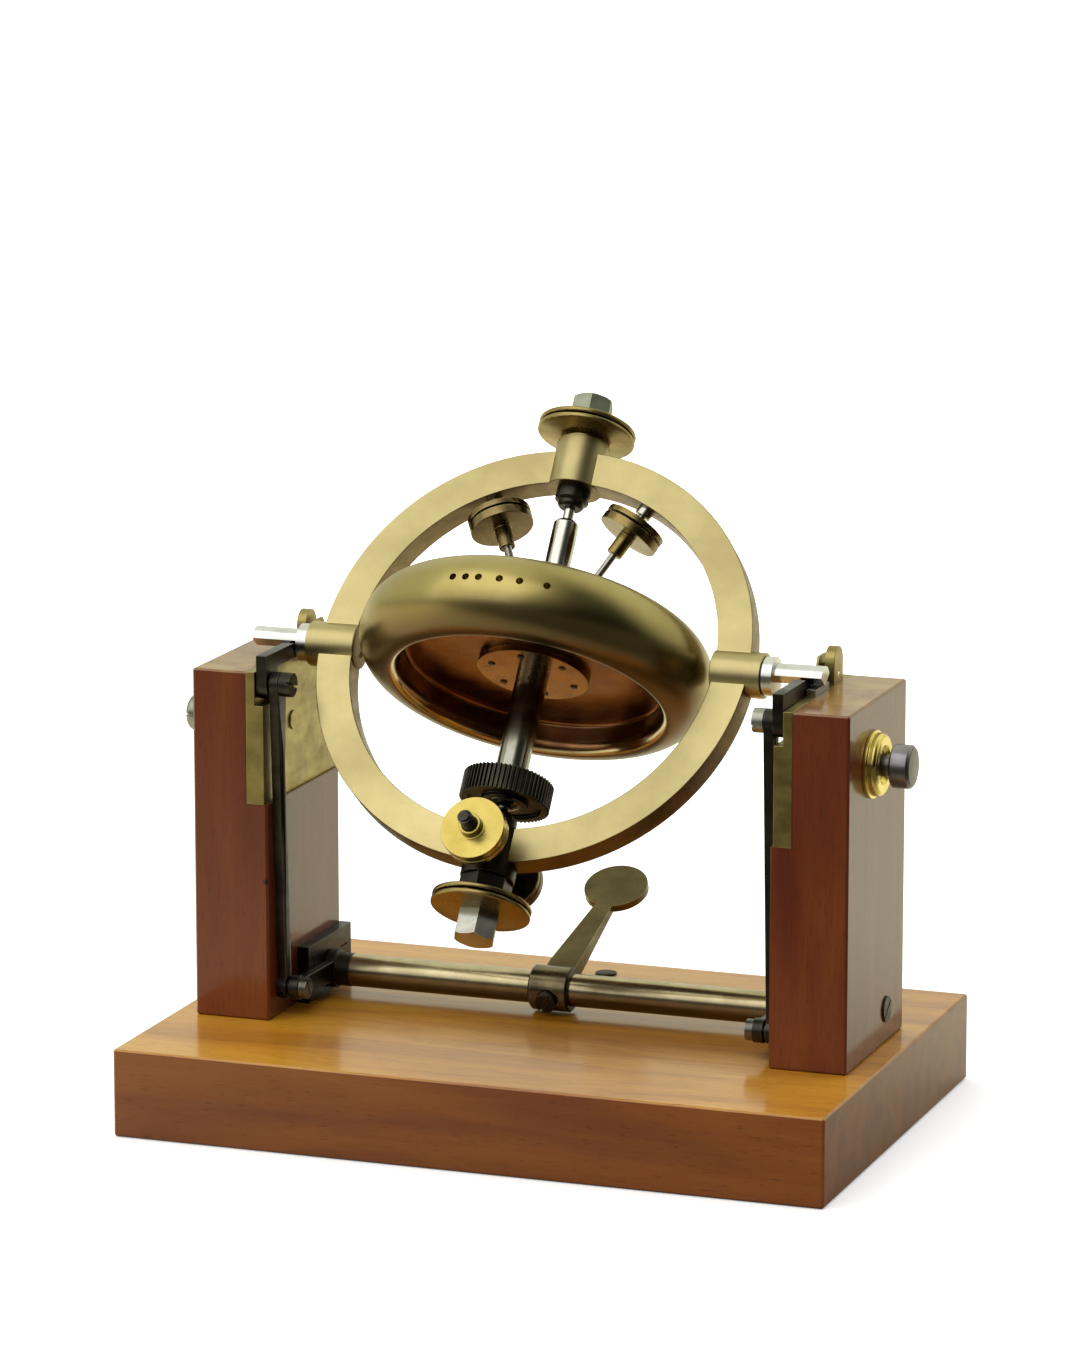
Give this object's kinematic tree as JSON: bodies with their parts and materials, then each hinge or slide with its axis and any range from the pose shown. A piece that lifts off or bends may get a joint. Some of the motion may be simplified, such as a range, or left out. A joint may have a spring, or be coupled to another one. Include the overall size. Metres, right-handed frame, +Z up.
{
  "type": "demonstration gyroscope",
  "caption": "Heavy rotor in a leaning brass ring whose knife-edge trunnions rest between two wooden pillars, with a finger paddle that lifts the ring off its beds.",
  "frame": {"origin": "middle of the underside of the base board", "axes": "+X to the right along the trunnion axis, -Y to the front, +Z up"},
  "size_m": [0.3123, 0.202, 0.288],
  "materials": {
    "base_wood": "varnished",
    "pillar_wood": "varnished",
    "ring_brass": "satin",
    "rotor_brass": "polished",
    "dull_brass": "dull lacquered",
    "bright_brass": "polished",
    "bright_steel": "polished",
    "grey_steel": "satin",
    "dark_steel": "blackened"
  },
  "bodies": {
    "stand": {"base_board": "base_wood", "left_pillar": "pillar_wood", "right_pillar": "pillar_wood", "left_bearing_plate": "dull_brass", "right_bearing_plate": "dull_brass", "left_bed": "dark_steel", "right_bed": "dark_steel", "left_clevis": "dull_brass", "right_clevis": "dull_brass", "clevis_pins": "bright_steel", "left_shaft_bracket": "dull_brass", "right_shaft_bracket": "dull_brass", "wood_screws": "dark_steel", "left_plate_bolt": "grey_steel", "right_ferrule": "bright_brass"},
    "clamp_screw": {"clamp_knob": "grey_steel"},
    "lifting_shaft": {"cross_shaft": "dull_brass", "left_crank": "dark_steel", "right_crank": "dark_steel", "crank_pins": "grey_steel", "shaft_hub": "dull_brass", "hub_screw": "dark_steel", "paddle_lever": "dull_brass"},
    "left_link": {"left_link": "dark_steel"},
    "right_link": {"right_link": "dark_steel"},
    "left_lever": {"left_lift_lever": "dark_steel", "left_lever_screw": "grey_steel"},
    "right_lever": {"right_lift_lever": "dark_steel", "right_lever_screw": "grey_steel"},
    "trunnions": {"left_trunnion": "bright_steel", "right_trunnion": "bright_steel"},
    "ring": {"gimbal_ring": "ring_brass", "upper_bearing_bush": "dark_steel", "lower_bearing_bush": "dark_steel", "upper_pivot_screw": "grey_steel", "lower_pivot_screw": "grey_steel", "upper_lock_disc": "rotor_brass", "upper_lock_nut": "rotor_brass", "lower_lock_disc": "rotor_brass", "lower_lock_nut": "rotor_brass", "lower_jam_nut": "dark_steel", "left_balance_rod": "bright_steel", "right_balance_rod": "bright_steel", "front_balance_rod": "dark_steel", "rear_balance_rod": "dark_steel"},
    "left_upper_weight": {"left_balance_weight": "dull_brass", "left_balance_locknut": "dull_brass"},
    "right_upper_weight": {"right_balance_weight": "dull_brass", "right_balance_locknut": "dull_brass"},
    "front_weight": {"front_balance_weight": "bright_brass", "front_balance_locknut": "bright_brass"},
    "rear_weight": {"rear_balance_weight": "dull_brass", "rear_balance_locknut": "dull_brass"},
    "rotor": {"rotor_wheel": "rotor_brass", "rotor_web": "rotor_brass", "upper_hub_flange": "dull_brass", "lower_hub_flange": "dull_brass", "hub_flange_screws": "dark_steel", "rotor_axle": "bright_steel", "drive_gear": "dark_steel"}
  },
  "joints": [
    {"name": "ring_lift", "type": "slide", "parent": "stand", "child": "trunnions", "axis": [0, 0, 1], "range_m": [0, 0.0042]},
    {"name": "ring_lean", "type": "hinge", "parent": "trunnions", "child": "ring", "pos_m": [-0.005, 0, 0.1875], "axis": [1, 0, 0], "continuous": true},
    {"name": "rotor_spin", "type": "hinge", "parent": "ring", "child": "rotor", "pos_m": [-0.005, 0, 0.1875], "axis": [0, 0.5906, 0.807], "continuous": true},
    {"name": "shaft_turn", "type": "hinge", "parent": "stand", "child": "lifting_shaft", "pos_m": [0, 0.0155, 0.0463], "axis": [-1, 0, 0], "range_deg": [0, 14.2]},
    {"name": "left_link_swing", "type": "hinge", "parent": "lifting_shaft", "child": "left_link", "pos_m": [-0.10525, -0.027, 0.0485], "axis": [1, 0, 0], "range_deg": [0, 15.4]},
    {"name": "left_lever_rise", "type": "hinge", "parent": "stand", "child": "left_lever", "pos_m": [-0.11105, 0.022, 0.1857], "axis": [-1, 0, 0], "range_deg": [0, 10.9]},
    {"name": "right_link_swing", "type": "hinge", "parent": "lifting_shaft", "child": "right_link", "pos_m": [0.10525, -0.027, 0.0485], "axis": [1, 0, 0], "range_deg": [0, 15.4]},
    {"name": "right_lever_rise", "type": "hinge", "parent": "stand", "child": "right_lever", "pos_m": [0.11105, 0.022, 0.1857], "axis": [-1, 0, 0], "range_deg": [0, 10.9]},
    {"name": "clamp_turn", "type": "hinge", "parent": "stand", "child": "clamp_screw", "pos_m": [0.15, -0.0083, 0.1568], "axis": [1, 0, 0], "range_deg": [0, 360]},
    {"name": "left_weight_slide", "type": "slide", "parent": "ring", "child": "left_upper_weight", "axis": [-0.4258, 0.5344, 0.7302], "range_m": [-0.015, 0.003]},
    {"name": "right_weight_slide", "type": "slide", "parent": "ring", "child": "right_upper_weight", "axis": [0.4258, 0.5344, 0.7302], "range_m": [-0.015, 0.003]},
    {"name": "front_weight_slide", "type": "slide", "parent": "ring", "child": "front_weight", "axis": [0, -0.807, 0.5906], "range_m": [-0.009, 0.007]},
    {"name": "rear_weight_slide", "type": "slide", "parent": "ring", "child": "rear_weight", "axis": [0, 0.807, -0.5906], "range_m": [-0.009, 0.007]}
  ],
  "couplings": [
    {"joint": "shaft_turn", "follows": "ring_lift", "rad_per_m": 57.803},
    {"joint": "left_link_swing", "follows": "ring_lift", "rad_per_m": 62.451},
    {"joint": "left_lever_rise", "follows": "ring_lift", "rad_per_m": 44.017},
    {"joint": "right_link_swing", "follows": "ring_lift", "rad_per_m": 62.451},
    {"joint": "right_lever_rise", "follows": "ring_lift", "rad_per_m": 44.017}
  ]
}
